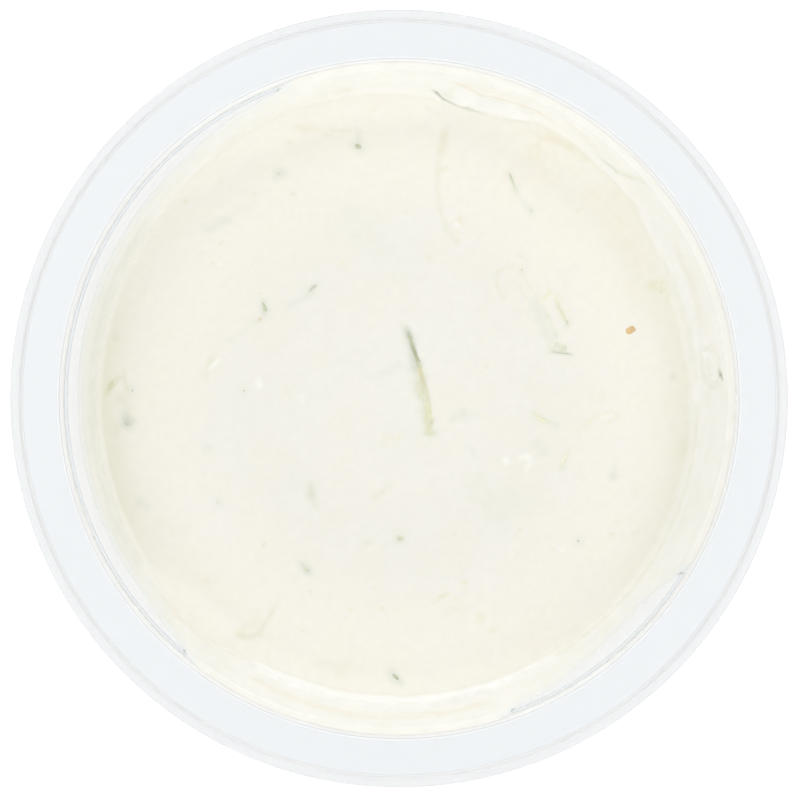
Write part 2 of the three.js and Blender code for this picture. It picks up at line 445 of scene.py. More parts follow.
def film_thickness(angles, z, shore_z):
    """Thickness of the dip on the wall at a height."""
    along = np.radians(angles) * UNROLL
    thin = FILM * (1 + 0.35 * ripple(along, z, 3.5, 11) + 0.2 * ripple(along, z, 1.2, 12))
    stand_off = around(SHORE, angles, 2) * np.clip(1 - (z - shore_z) / SHORE_FADE, 0, 1) ** 2
    coat_top = around(COAT_TOP, angles) + 0.25 * ripple(along, 0 * z, 2.2, 13)
    coat = around(COAT, angles) * smooth((coat_top - z) / 0.35)
    lumps = 0
    for angle, height, width, depth, thickness in LUMPS:
        off = np.mod(angles - angle + 180, 360) - 180
        lumps = lumps + thickness * smooth((1.2 - np.hypot(off / width, (z - height) / depth)) / 0.6)
    return thin + stand_off + coat + lumps


def film_top(angles):
    """How far up the wall the film reaches, as a length along it."""
    height = around(FILM_TOP, angles) + 0.12 * ripple(np.radians(angles) * UNROLL, 0, 1.5, 14)
    return np.interp(height, SKIN_Z, SKIN_LENGTH)


def skin_point(length, top):
    """Radius and height of the film's skin in the plastic, which comes out of it at the top edge."""
    out = (INTO_WALL + SKIN_OUT) * smooth(1 - (top - length) / SKIN_RUN)
    r = np.interp(length, SKIN_LENGTH, SKIN_R) - out * math.cos(LEAN)
    return r, np.interp(length, SKIN_LENGTH, SKIN_Z) + out * math.sin(LEAN)


def film_point(angles, length, shore_z):
    """Radius and height of the film's surface at a length up the wall, no higher than the film's top edge."""
    top = film_top(angles)
    length = np.minimum(length, top)
    skin_r, skin_z = skin_point(length, top)
    flow_r, flow_z = np.interp(length, SKIN_LENGTH, FLOW_R), np.interp(length, SKIN_LENGTH, FLOW_Z)
    full = smooth((top - length) / EDGE_RUN)
    corner = CORNER_COVER * smooth(1.5 - np.abs(flow_z - LEDGE_Z) / 0.8)
    depth = INTO_WALL + film_thickness(angles, flow_z, shore_z) + corner
    r = skin_r + full * (flow_r - skin_r - depth * math.cos(LEAN))
    z = skin_z + full * (flow_z - skin_z + depth * math.sin(LEAN))
    return r, z


def swell(x, y):
    """Slow swells left by pouring."""
    a, b, c, d = SWELL_LENGTHS
    return SWELL / 2 * (np.sin(x / a + np.cos(y / b)) + np.cos(y / c - x / d))


def surface(x, y):
    """Height of the dip's surface."""
    angles = np.degrees(np.arctan2(y, x))
    shore_z = LEVEL + around(SHORE, angles, 1)
    edge, edge_z = film_point(angles, np.interp(shore_z, SKIN_Z, SKIN_LENGTH), shore_z)
    r = np.hypot(x, y)
    reach = SHORE_REACH + 0.6 * (edge_z - LEVEL)
    near = np.clip(1 - (edge - r) / reach, 0, 1) ** 2
    fine = 0.035 * ripple(x, y, 4.5, 21) + 0.015 * ripple(x, y, 1.7, 22)
    marks = sum(mark_weight(x, y, lift, soft, *track) for _, _, soft, lift, *track in STAINS_AND_PAINTED_SHADE if lift)
    return LEVEL + (swell(x, y) + fine + marks) * (1 - near) + (edge_z - LEVEL) * near


def shore_line(angles):
    """Radius of the surface's edge."""
    shore_z = LEVEL + around(SHORE, angles, 1)
    return film_point(angles, np.interp(shore_z, SKIN_Z, SKIN_LENGTH), shore_z)[0]


# ---------------------------------------------------------------- dip: its colours

DIP = linear(235, 233, 225)
# Towards the wall the dip is painted lighter and a little yellower; the lightness makes up for the wall's
# shade there.
DIP_OUTER_LIGHTENED = linear(242.5, 240, 230.5)
DIP_FILM = linear(248, 246.5, 241)
TINTS = {
    "grey": linear(218, 222, 211),
    "olive": linear(217, 219, 190),
    "yellow": linear(232, 229, 199),
    "tan": linear(233, 225, 201),
    "dark": linear(168, 176, 150),
    "pale": linear(246, 245, 238),
    "thin": linear(238, 240, 238),
    # The brightest white is only a painted highlight, on the lit band low on the wall and a lobe's edge.
    "white": linear(251, 251, 249),
    "smear": linear(238, 238, 236),
    "flesh": linear(220, 219, 193),
}

# Stains from what lies just under the surface, and one painted shadow line below a step:
# (tint, strength, softness, lift of the surface, x, y, half width, then x, y and half width of more points).
STAINS_AND_PAINTED_SHADE = [
    # the cucumber strip in the middle, and what is beside it
    ("grey", 0.8, 2.2, 0.05, 1, 10.8, 0.5, 2.6, 5, 0.9, 3.5, 1, 0.8, 4.7, -5.3, 0.8),
    ("dark", 0.5, 1.3, 0, 1.1, 10.9, 0.3, 2.1, 7.6, 0.5, 2.9, 4.6, 0.4),
    ("dark", 0.6, 0.5, 0, 1.35, 10.4, 0.2, 2.2, 7.8, 0.3, 3, 5, 0.25),
    ("flesh", 0.95, 0.7, 0, 3.1, 4.4, 0.55, 3.85, 0.8, 0.75, 4.45, -2.2, 0.72, 4.65, -5, 0.8),
    ("grey", 0.4, 1.9, 0, 0.1, 5.4, 0.5, -1, 4.6, 0.4, -2.2, 4.1, 0.3),
    ("grey", 0.35, 1.3, 0, -2.4, 4, 0.2, -4.4, 3.2, 0.25, -5.6, 4, 0.2, -5.8, 4.8, 0.1),
    ("grey", 0.45, 1.45, 0, 7.9, -3.3, 0.4, 10.1, -2.1, 0.6),
    ("grey", 0.3, 1.45, 0, 10.3, -3.4, 0.3, 12, -2.6, 0.3),
    ("yellow", 0.5, 0.85, 0, -2.4, -6.1, 0.3, 0.1, -6.1, 0.35),
    ("grey", 0.35, 1.3, 0, 11.4, -8.3, 0.5, 11, -7.6, 0.3),
    ("tan", 0.35, 1, 0, 12.9, -2.6, 0.4),
    # the folded ribbon on the right
    ("olive", 0.34, 0.7, 0.05, 16.2, 15.5, 0.25, 15.1, 17.4, 0.25, 15.3, 19.6, 0.3, 17, 20.6, 0.3, 18.6,
     19.9, 0.25),
    ("olive", 0.3, 0.65, 0.04, 18.6, 19.9, 0.2, 20.3, 17, 0.2, 22.5, 13.7, 0.25, 24.3, 10.2, 0.25),
    ("olive", 0.22, 0.7, 0, 16.8, 18.2, 0.2, 18.2, 18, 0.2, 19.8, 15.3, 0.2),
    ("grey", 0.42, 0.85, 0.06, 20.9, 14.4, 0.75, 22.2, 12, 0.85, 23.6, 9.4, 0.8),
    ("olive", 0.5, 0.6, 0, 22.5, 13.7, 0.12, 23.6, 11.6, 0.15, 24.5, 9.6, 0.15),
    ("olive", 0.55, 0.7, 0.06, 23.6, 8.3, 0.6, 25.4, 7.9, 0.65),
    ("dark", 0.4, 0.6, 0, 23.5, 7.3, 0.15, 26.7, 6.8, 0.18),
    ("yellow", 0.6, 0.7, 0.05, 22.5, 15.4, 0.35, 23.2, 16.4, 0.35, 24.2, 16.3, 0.35, 24.6, 15.2, 0.35,
     25.2, 13.6, 0.55, 26.1, 11.6, 0.45),
    ("olive", 0.5, 0.6, 0, 24.2, 15.3, 0.2, 25, 13.2, 0.3, 25.9, 11.5, 0.2),
    ("olive", 0.3, 0.7, 0, 18.2, 22.4, 0.2, 19.8, 21.6, 0.15),
    # right of the middle
    ("olive", 0.62, 0.85, 0.04, 20.9, -2.3, 0.4, 22, -3.2, 0.5, 22.8, -3.6, 0.4),
    ("grey", 0.5, 0.85, 0, 23.2, -3.6, 0.4, 24.2, -4, 0.4),
    ("tan", 0.8, 0.6, 0, 22.1, -0.8, 0.28),
    ("grey", 0.4, 1.45, 0, 21.4, -7, 0.5, 22.4, -8.2, 0.5),
    ("olive", 0.34, 0.85, 0.04, 26.3, -8, 0.45, 25.6, -9.4, 0.4, 25.2, -10.8, 0.4),
    ("olive", 0.5, 0.6, 0, 25.6, -9.8, 0.2, 25.2, -10.9, 0.22),
    ("yellow", 0.45, 0.7, 0.05, 29.4, -3.6, 0.25, 31.3, -2.5, 0.3, 33, -2, 0.3, 33.9, -2.7, 0.3, 32.6,
     -3.6, 0.25),
    ("pale", 0.5, 0.6, 0.06, 31.4, -3, 0.3, 32.9, -2.7, 0.35),
    ("olive", 0.15, 1.45, 0, 27.4, -4.6, 0.3, 29.4, -3.9, 0.3),
    ("olive", 0.16, 2.05, 0, 29.8, 0.2, 0.5, 31.6, 0, 0.5),
    ("pale", 0.45, 0.7, 0.06, 30.3, -5.4, 0.25),
    ("grey", 0.5, 1.45, 0, 33.1, -11.9, 0.6, 33.4, -10.9, 0.3),
    ("tan", 0.45, 0.7, 0, 33.5, -10.1, 0.2, 33.8, -9.1, 0.2),
    ("yellow", 0.3, 0.85, 0.04, 36.6, -13.4, 0.5, 36.5, -14.8, 0.4),
    ("olive", 0.35, 0.85, 0, 42.5, 3.7, 0.4, 42.4, 3.2, 0.4),
    ("olive", 0.22, 1.75, 0, 44.2, -6.6, 0.5, 43.6, -8.6, 0.5),
    ("olive", 0.3, 1.45, 0, 36.3, -21, 0.3, 37.2, -20.2, 0.3),
    ("yellow", 0.6, 1, 0.06, 39.2, 17.7, 0.7, 40.4, 17.6, 0.9, 41.7, 16.2, 0.4, 41.5, 14.9, 0.2),
    ("olive", 0.35, 0.7, 0, 38.9, 18.1, 0.3, 40.4, 17, 0.4),
    ("pale", 0.4, 0.6, 0.06, 40.9, 17.2, 0.2, 40, 18.4, 0.15),
    ("yellow", 0.5, 0.6, 0, 36.1, 17.8, 0.15, 37.5, 18.8, 0.15),
    ("tan", 0.55, 0.6, 0, 36.5, 13.1, 0.2),
    # upper right
    ("olive", 0.3, 0.85, 0.04, 7.4, 42, 0.3, 6.5, 39.8, 0.5, 6.1, 36, 0.4, 5.9, 32.3, 0.4, 6.5, 28.5, 0.4,
     7.6, 25.8, 0.4, 9.2, 24.1, 0.35),
    ("tan", 0.5, 1.3, 0, 7, 41, 0.4, 6.7, 38.3, 0.5),
    ("yellow", 0.35, 1, 0, 8.8, 25.6, 0.35, 9.4, 24.6, 0.3),
    ("olive", 0.32, 0.7, 0, 17.1, 34.9, 0.22, 17.7, 33, 0.25, 18.6, 31.2, 0.18),
    ("dark", 0.4, 0.5, 0, 17.1, 34.9, 0.12, 17.8, 33.1, 0.14),
    ("grey", 0.3, 0.85, 0, 18.6, 31.2, 0.2, 20.4, 29.1, 0.3),
    ("dark", 0.28, 0.7, 0, 20.4, 29.1, 0.25),
    ("grey", 0.18, 1.75, 0, 27.2, 20.6, 0.4, 25.4, 18.8, 0.4, 25.6, 17.4, 0.3),
    ("tan", 0.5, 1, 0.05, 20.1, 37.3, 0.3, 20.2, 38.7, 0.3, 21.6, 39.3, 0.3, 21.4, 37.6, 0.3),
    ("tan", 0.6, 0.85, 0.08, 21.6, 40.4, 0.35, 24, 40, 0.35, 26.4, 38.7, 0.25),
    # Painted shadow: the dark line where the upper layer steps down.
    ("olive", 0.3, 1.75, -0.05, 26.2, 39, 0.3, 28.7, 37.1, 0.4),
    ("tan", 0.3, 4.35, 0, 30.6, 31.8, 1, 34.6, 26.8, 1, 36.4, 21.5, 0.8),
    ("pale", 0.35, 1.15, 0.12, 24.6, 38.2, 0.5, 28.5, 35.9, 0.6, 31.8, 33.4, 0.4),
    # upper left
    ("dark", 0.5, 1, 0, -6.5, 39.2, 0.4, -6, 38.8, 0.2),
    ("grey", 0.5, 1.75, 0, -6.4, 39.6, 0.8, -6.5, 41.4, 0.4),
    ("pale", 0.4, 1.15, 0.06, -7, 37, 0.6),
    ("grey", 0.7, 1.75, 0, -18.7, 35, 0.6, -19.1, 34.2, 0.3),
    ("dark", 0.25, 0.85, 0, -18.6, 34.8, 0.3),
    ("tan", 0.5, 1.15, 0, -15.6, 42, 0.35, -13.2, 41.6, 0.5),
    ("tan", 0.4, 0.85, 0, -11.2, 41, 0.3),
    ("olive", 0.45, 0.7, 0, -10.4, 41.5, 0.2, -7.7, 41.6, 0.25),
    ("grey", 0.4, 2.05, 0, -29.6, 26.2, 0.5, -26.9, 27.6, 0.5),
    ("grey", 0.2, 2.9, 0, -26.9, 27.6, 0.3, -22.5, 30.5, 0.3),
    ("dark", 0.4, 0.7, 0, -13.9, 16.6, 0.22, -12.9, 17.6, 0.22),
    ("grey", 0.6, 1.15, 0, -13.8, 16.4, 0.4, -17, 14.3, 0.4),
    ("dark", 0.4, 1, 0, -20.8, 13.5, 0.5, -21.1, 15, 0.25),
    ("tan", 0.5, 0.7, 0, -21.6, 12.3, 0.3, -22.6, 11.6, 0.2),
    ("grey", 0.3, 1.15, 0, -20.9, 13.9, 0.9),
    ("grey", 0.25, 1.3, 0, -22, 12, 0.25, -26.5, 8.8, 0.25),
    ("olive", 0.28, 1.15, 0.04, -28.4, 6.8, 0.5, -30.2, 3.4, 0.6),
    ("pale", 0.7, 0.6, 0.08, -28.1, 5.9, 0.35, -29.3, 4.6, 0.35),
    ("pale", 0.5, 1.15, 0.06, -31.2, 18.6, 0.1),
    ("tan", 0.4, 0.85, 0, -33.2, 30.4, 0.3),
    ("grey", 0.12, 4.35, 0, -8, 29, 2, -3, 23, 2),
    # left
    ("olive", 0.75, 0.85, 0.06, -45.3, 0.9, 0.35, -44.6, 2.2, 0.5, -43.6, 3.3, 0.3),
    ("dark", 0.2, 0.7, 0, -45, 1.3, 0.2, -43.9, 2.9, 0.2),
    ("olive", 0.5, 1, 0, -42.8, 4, 0.2, -41.8, 0.6, 0.35),
    ("dark", 0.35, 1.15, 0, -42.3, -3.6, 0.6, -42.2, -2.4, 0.2),
    ("grey", 0.6, 1.6, 0, -42.3, -3.3, 1),
    ("olive", 0.3, 2.05, 0, -42.6, 0, 1, -41.2, -4, 0.6),
    ("grey", 0.55, 1.75, 0, -40.2, -16, 0.5, -39.2, -16.8, 0.3),
    ("olive", 0.35, 1.6, 0, -43.9, 9.5, 0.4),
    ("dark", 0.2, 0.85, 0, -43.9, 9.5, 0.2),
    ("olive", 0.25, 2.3, 0, -43.8, -8.6, 0.6, -44, -4, 0.6),
    ("grey", 0.3, 1.45, 0, -29.8, -7.8, 0.7, -30.4, -7.1, 0.3),
    ("grey", 0.18, 1.45, 0, -33.8, -7.8, 0.4),
    ("tan", 0.5, 0.6, 0, -28.2, -13.8, 0.2, -27.8, -14.4, 0.15),
    ("olive", 0.15, 2.9, 0, -36.8, -19.5, 0.8, -33.5, -20.5, 0.8),
    # lower left
    ("olive", 0.4, 1.15, 0, -13.7, -13.7, 0.45, -13.5, -15.2, 0.45),
    ("dark", 0.3, 0.7, 0, -13.6, -14.4, 0.25, -13.4, -15.2, 0.2),
    ("grey", 0.4, 1.45, 0, -13.8, -13.4, 0.6, -13, -17, 0.4),
    ("pale", 0.35, 0.7, 0.04, -13.2, -17.2, 0.2, -12.7, -18.4, 0.2),
    ("olive", 0.42, 0.85, 0, -3.8, -15.2, 0.25, -2.4, -14.2, 0.3, -1.3, -13.4, 0.2),
    ("dark", 0.4, 1, 0, -14.1, -26.6, 0.35, -15.1, -25.6, 0.2),
    ("grey", 0.4, 1.3, 0, -14, -26.4, 0.7, -15.4, -25.5, 0.3),
    ("olive", 0.5, 0.85, 0, -5.2, -22.2, 0.3, -4.4, -22.4, 0.2),
    ("olive", 0.6, 0.7, 0, 0.1, -21.8, 0.6),
    ("dark", 0.3, 0.7, 0, 0.1, -21.5, 0.4),
    ("tan", 0.4, 1.15, 0, -30.1, -28.4, 0.6),
    ("olive", 0.5, 1, 0.04, -18.8, -31.6, 0.25, -20.2, -33.9, 0.3, -21.6, -36.2, 0.4, -23.4, -37, 0.4, -25,
     -36.6, 0.2),
    ("yellow", 0.35, 1.75, 0, -25, -36.4, 0.4, -22.2, -34.6, 0.4),
    ("grey", 0.5, 1.3, 0, -0.8, -43.2, 0.8, 0.1, -44, 0.4),
    ("olive", 0.2, 2.3, 0, -9, -42, 1, -13, -41.6, 0.8),
    ("tan", 0.4, 0.7, 0, -9.6, -36.7, 0.25),
    ("tan", 0.35, 0.7, 0, -14.6, -36.3, 0.18),
    # lower right
    ("olive", 0.5, 0.7, 0, 5.4, -31.6, 0.25, 6.4, -30.8, 0.3, 7.5, -30.2, 0.2),
    ("tan", 0.4, 0.7, 0, 8.7, -31, 0.35),
    ("tan", 0.6, 0.6, 0.04, 10.1, -28.6, 0.4),
    ("yellow", 0.45, 0.7, 0, 10.4, -29.9, 0.2),
    ("olive", 0.15, 1.45, 0, 7.6, -33, 0.5, 10.4, -32.4, 0.6),
    ("yellow", 0.5, 0.85, 0.05, 12.6, -34, 0.8),
    ("yellow", 0.4, 0.7, 0, 14.4, -35.9, 0.4, 15.2, -35.6, 0.3),
    ("pale", 0.7, 0.6, 0.08, 16.5, -9.4, 0.45, 16.6, -9.9, 0.45),
    ("pale", 0.7, 0.6, 0.08, 18.9, -9.2, 0.4, 19.9, -8.9, 0.4, 20.5, -9.9, 0.4, 19.8, -10.8, 0.4),
    ("pale", 0.6, 0.6, 0.07, -21.9, 2.9, 0.4, -21.6, 1.9, 0.5),
    ("pale", 0.65, 0.6, 0.07, -15.2, 0.3, 0.45, -15.1, -0.5, 0.4),
    ("pale", 0.5, 0.6, 0.06, 25.4, -23.5, 0.35),
    ("pale", 0.4, 0.7, 0.06, -0.6, 16.2, 0.3),
    ("grey", 0.12, 4.35, 0, 14, -17, 1.5, 20, -15, 1.5),
    ("olive", 0.1, 4.35, 0, 12, -13, 1.5, 16, -18, 1.5),
]
# Small round stains: (tint, strength, radius, then x and y of each).
DOTS = [
    ("tan", 0.75, 0.24, -28.9, 20.9, -8.7, 21.5, -27.6, 33.4, -17.2, 39.6, -4.4, 25.2, 27.6, 29.2, 9.7,
     27.1, 33, -21.1, -14.9, -36, -3.7, -29.5, -2.7, -32.5, -7.6, -32.8, 23.8, -23.4, 26.2, 13.6, 19, 20.2),
    ("olive", 0.7, 0.2, -30.6, 22.4, -16.3, 31.7, -22.5, 31.7, -27.5, 24, 13.6, 4.9, 1.2, 29.2, 8.6, -21.2,
     18.7, -20.4, -20.9, -22.6, -13.6, -29.9, -41.3, 1.3, -21.4, 16.2, -33, 30.5, 4.6, 44.8),
    ("tan", 0.4, 0.45, -8.9, 20.9, 9.4, 27.9, -4, 44.6, 6.9, 35.6, 33.8, -19, -17.5, 1, 4.6, 21.6),
    ("pale", 0.6, 0.3, -27.8, 20.9, 8.9, 26.9, -30.2, 23.4, 44.6, -2.9),
]
# Stretches of another tint along the shore: (tint, strength, middle angle, half its width, reach inwards).
# Olive ones are painted shade beside the side walls; pale ones a painted highlight where the dip meets the
# wall.
SHORE_TINTS_AND_PAINTED_LIGHT = [
    ("olive", 0.36, 184, 36, 5.0),
    ("olive", 0.24, 350, 40, 5.0),
    ("yellow", 0.16, 40, 40, 9),
    ("pale", 0.85, 182, 62, 0.5),
    ("pale", 0.7, 345, 62, 0.5),
]
# Marks on the wall: (tint, strength, softness, angle, height, half width, then the same of more points).
# Most are stains; the rows marked below are painted light and shade.
WALL_STAINS_AND_PAINTED_LIGHT = [
    # Painted highlight: the pale line where the dip's thin lip meets the wall, on the left.
    ("pale", 1, 0.4, 138, 27.9, 0.3, 160, 28, 0.3, 200, 28, 0.3, 222, 28, 0.28),
    ("olive", 0.2, 0.9, 146, 29.5, 0.6, 180, 29.6, 0.8, 212, 29.5, 0.6),
    ("grey", 0.3, 2.5, 146, 31.5, 1, 180, 31.5, 1.2, 212, 31.5, 1),
    ("grey", 0.25, 1.2, 138, 34.4, 0.3, 160, 34.8, 0.3, 180, 34.5, 0.35, 214, 34.4, 0.3),
    # Painted highlight: the pale line where the dip's thin lip meets the wall, on the right.
    ("pale", 0.6, 0.4, 298, 27.9, 0.2, 340, 27.8, 0.2, 359, 27.8, 0.2, 388, 27.8, 0.2),
    ("olive", 0.3, 0.8, 302, 29, 0.5, 340, 29, 0.6, 358, 29, 0.5),
    # The dark crease under the lobe: partly skin caught in the fold, partly painted shade under the overhang.
    ("dark", 0.85, 0.5, 70.5, 28.6, 0.2, 75, 28.8, 0.35, 78, 29.1, 0.5, 81.3, 30, 0.5, 83.4, 32.2, 0.3),
    ("grey", 0.5, 0.8, 71, 28.6, 0.2, 78, 29.4, 0.4, 81, 31, 0.4),
    ("tan", 0.6, 0.8, 79.6, 36.1, 0.4, 74.8, 33.8, 0.3, 68.7, 34.8, 0.3, 63.9, 35.5, 0.25, 61.3, 34.9, 0.3),
    ("tan", 0.25, 2, 78, 36, 1, 68, 36.6, 0.8),
    # Painted highlights: pale lines along the crisp top edges of the coat.
    ("pale", 0.7, 0.5, 71, 28.6, 0.2, 67, 29.8, 0.25, 62, 31.6, 0.3, 56, 32.1, 0.3, 50, 32, 0.3, 42, 32.9,
     0.25, 36, 33.6, 0.25),
    ("pale", 0.7, 0.5, 44, 31, 0.2, 38.5, 30.7, 0.25, 34, 31.2, 0.25, 29, 32.3, 0.25, 24, 31.8, 0.25, 18.7,
     30.4, 0.2),
    # Painted shade on the lower side of a ridge.
    ("grey", 0.7, 0.6, 50.4, 33.5, 0.25, 46.4, 33.8, 0.4),
    ("olive", 0.6, 0.9, 46.4, 33.8, 0.4, 44, 35.6, 0.4, 41.6, 38.6, 0.3),
    ("olive", 0.3, 1.2, 28, 29.4, 0.6, 14, 29.2, 0.6, 4, 29, 0.5),
    ("tan", 0.3, 1.5, 52, 35, 0.8, 58, 37, 0.6),
    ("olive", 0.3, 1, 81, 32, 0.6, 79.5, 34.4, 0.4),
    ("tan", 0.25, 2.5, 100, 33, 1, 125, 31, 1),
    ("tan", 0.5, 0.5, 64, 35.2, 0.25),
    ("dark", 0.35, 0.5, 73, 37.6, 0.2),
    ("tan", 0.25, 1.8, 15, 33, 1, 28, 34, 1),
    ("pale", 0.5, 0.6, 3.4, 31, 0.4, 2.6, 33, 0.3, 3.6, 34.6, 0.4, 5.6, 34.6, 0.3),
    ("tan", 0.6, 0.4, 6.6, 32.9, 0.3),
    ("grey", 0.6, 0.9, 4, 37.9, 0.6),
    ("dark", 1, 0.5, 4.3, 37.7, 0.4, 3.8, 38.2, 0.3),
    ("dark", 0.6, 0.4, 3.2, 38.5, 0.12, 5, 37, 0.2),
    ("tan", 0.3, 1.6, 243, 34.5, 1, 262, 35.5, 1.2, 285, 34.5, 1),
    ("pale", 0.6, 1.2, 250, 36, 0.3, 254, 37.6, 0.5, 258, 36.4, 0.3),
    ("pale", 0.6, 1, 264, 35, 0.4, 270, 34.4, 0.5, 276, 35.2, 0.3),
    # Lobe on the right: pale wash painted light, olive ring painted shade, white arc painted highlight.
    ("pale", 0.35, 2, 5.7, 33.4, 1.8),
    ("olive", 0.4, 0.35, 2.4, 31.6, 0.1, 2, 33.6, 0.12, 3, 35.8, 0.12, 5.2, 36.7, 0.1, 8.2, 35.4, 0.1, 9.3,
     33.2, 0.14, 8.4, 31.2, 0.16, 6.2, 30.2, 0.14, 3.8, 30.4, 0.12),
    ("white", 0.8, 0.3, 5.4, 36.2, 0.12, 7.8, 35, 0.2, 8.7, 33.2, 0.16, 7.9, 31.6, 0.12),
    ("tan", 0.5, 0.4, 9.6, 34.6, 0.16, 8.4, 36.4, 0.2, 6.2, 37.4, 0.12),
    # Painted highlight: the white band low on the wall at the bottom, where the bank faces the light.
    ("white", 0.95, 0.6, 242, 29.6, 0.8, 256, 29.8, 1, 270, 30.2, 1.2, 286, 29.4, 0.9, 300, 28.7, 0.3),
    ("olive", 0.35, 0.8, 228, 31.4, 0.3, 236, 30.4, 0.3, 239.5, 29.4, 0.3),
    ("tan", 0.3, 1, 220, 31.5, 0.6, 232, 32.5, 0.8),
    ("grey", 0.2, 1.4, 186, 38, 0.5, 200, 38, 0.5),
]
FILM_GREY = 0.2  # how far the thin film is tinted grey
HALO, HALO_SOFT = 0.58, 2.6  # how far, and how softly, the dip round a herb bit is tinted grey
SEAM = 20  # the wall is unrolled from this many degrees before 0


def mark_weight(x, y, strength, soft, *track):
    """How much of a mark along a track of (x, y, half width) there is at each place."""
    track = np.reshape(track, (-1, 3)).astype(float)
    if len(track) == 1:
        track = np.vstack([track, track])
    most = np.zeros(np.shape(x))
    reach = track[:, 2].max() + soft
    near = (x > track[:, 0].min() - reach) & (x < track[:, 0].max() + reach)
    near &= (y > track[:, 1].min() - reach) & (y < track[:, 1].max() + reach)
    px, py = x[near], y[near]
    best = np.zeros(px.shape)
    wander = 0.4 * ripple(px, py, 1.1, 31) + 0.3 * ripple(px, py, 0.5, 32)
    for (ax, ay, aw), (bx, by, bw) in zip(track, track[1:]):
        length = max((bx - ax) ** 2 + (by - ay) ** 2, 1e-9)
        t = np.clip(((px - ax) * (bx - ax) + (py - ay) * (by - ay)) / length, 0, 1)
        off = np.hypot(px - ax - t * (bx - ax), py - ay - t * (by - ay))
        half = aw + t * (bw - aw)
        best = np.maximum(best, smooth((half * (1 + wander) - off) / soft + 0.5))
    most[near] = strength * best * (0.85 + 0.35 * ripple(px, py, 0.9, 33))
    return most


def tinted(colours, tint, weight):
    """The colours taken towards a tint as far as the weight says, from 0 to 1."""
    return colours + (np.array(TINTS[tint]) - colours) * weight[..., None]


def surface_colours(x, y):
    """Colours of the dip's surface."""
    angles, r = np.degrees(np.arctan2(y, x)), np.hypot(x, y)
    off = shore_line(angles) - r
    # Painted lighter towards the wall, making up for the shade the wall casts on the dip there.
    outer = smooth((r - 20) / 20)[..., None]
    colours = np.array(DIP) * (1 - outer) + np.array(DIP_OUTER_LIGHTENED) * outer
    # The olive and pale stretches are painted shade and a painted highlight.
    for tint, strength, middle, width, reach in SHORE_TINTS_AND_PAINTED_LIGHT:
        turn = np.abs(np.mod(angles - middle + 180, 360) - 180)
        colours = tinted(colours, tint, strength * smooth(1.5 - 1.5 * turn / width) * smooth(1 - off / reach))
    cloud = 0.5 + 0.5 * ripple(x, y, 7, 41)
    colours = tinted(colours, "grey", 0.09 * cloud * smooth((38 - r) / 14))
    colours = tinted(colours, "yellow", 0.07 * (1 - cloud))
    for tint, strength, soft, _, *track in STAINS_AND_PAINTED_SHADE:
        colours = tinted(colours, tint, mark_weight(x, y, strength, soft, *track))
    for _, _, *track in HERB_BITS:
        colours = tinted(colours, "grey", mark_weight(x, y, HALO, HALO_SOFT, *track))
    for tint, strength, radius, *places in DOTS:
        for at in np.reshape(places, (-1, 2)):
            colours = tinted(colours, tint, mark_weight(x, y, strength, 0.35, *at, radius))
    return colours


def wall_colours(angles, z):
    """Colours of the film on the wall."""
    along = np.radians(np.mod(angles + SEAM, 360) - SEAM) * UNROLL
    colours = np.broadcast_to(np.array(DIP_FILM), along.shape + (4,)).copy()
    thin = smooth((z - LEVEL - around(SHORE, angles, 1)) / 4) * (1 - around(COAT, angles) * 0.5)
    colours = tinted(colours, "grey", FILM_GREY * thin * (0.8 + 0.4 * ripple(along, z, 2.4, 42)))
    edge = around(FILM_TOP, angles) - z + 0.5 * ripple(along, z, 1.6, 43)
    for tint, strength, soft, *track in WALL_STAINS_AND_PAINTED_LIGHT:
        track = np.reshape(track, (-1, 3)).astype(float)
        track[:, 0] = np.radians(track[:, 0]) * UNROLL
        for turn in (0, 2 * math.pi * UNROLL):
            here = track - (turn, 0, 0)
            colours = tinted(colours, tint, mark_weight(along, z, strength, soft, *here.ravel()))
    return tinted(colours, "thin", 0.9 * smooth(1 - edge / 2.6) * (around(FILM_TOP, angles) < BAND_TOP - 0.1))


def make_dip():
    """The dip in rings: out over its surface, up the film, and back down inside the plastic."""
    angles = np.arange(DIP_SEGMENTS) * 360 / DIP_SEGMENTS
    rings, colours = [], []

    def add(x, y, z, colour, every=1):
        rings.append(np.stack([x, y, z + 0 * x], 1)[::every])
        colours.append(colour[::every])

    turn = np.radians(angles)
    shore = shore_line(angles)
    for k in range(1, SURFACE_RINGS + 1):
        x, y = shore * k / SURFACE_RINGS * np.cos(turn), shore * k / SURFACE_RINGS * np.sin(turn)
        every = 4 if 4 * k <= SURFACE_RINGS else 2 if 2 * k <= SURFACE_RINGS else 1
        add(x, y, surface(x, y), surface_colours(x, y), every)
    shore_z = LEVEL + around(SHORE, angles, 1)
    first = np.interp(shore_z, SKIN_Z, SKIN_LENGTH)
    top = film_top(angles)
    edge_colour = colours[-1]
    for k in range(1, FILM_RINGS + 1):
        length = top - (top - first) * (1 - k / FILM_RINGS) ** 1.3
        r, z = film_point(angles, length, shore_z)
        merge = smooth(np.full(angles.shape, k / 4))[:, None]
        colour = edge_colour * (1 - merge) + wall_colours(angles, z) * merge
        add(r * np.cos(turn), r * np.sin(turn), z, colour)
    for k in range(1, OUTER_RINGS):
        r, z = skin_point(top * (1 - k / OUTER_RINGS), top)
        add(r * np.cos(turn), r * np.sin(turn), z, wall_colours(angles, z), 2)
    plain = np.broadcast_to(np.array(DIP), (DIP_SEGMENTS, 4))
    for point in reversed([p for p in LOWER_SKIN if p.y < LEVEL and p.x > 1]):
        add(point.x * np.cos(turn), point.x * np.sin(turn), point.y, plain, 2)
    material = food_material("dip", 0.36, 0.05, 0.012)
    build("dip_body", *join_rings(rings), "dip", material, ["dip"], np.concatenate(colours))


# ---------------------------------------------------------------- bits in the dip

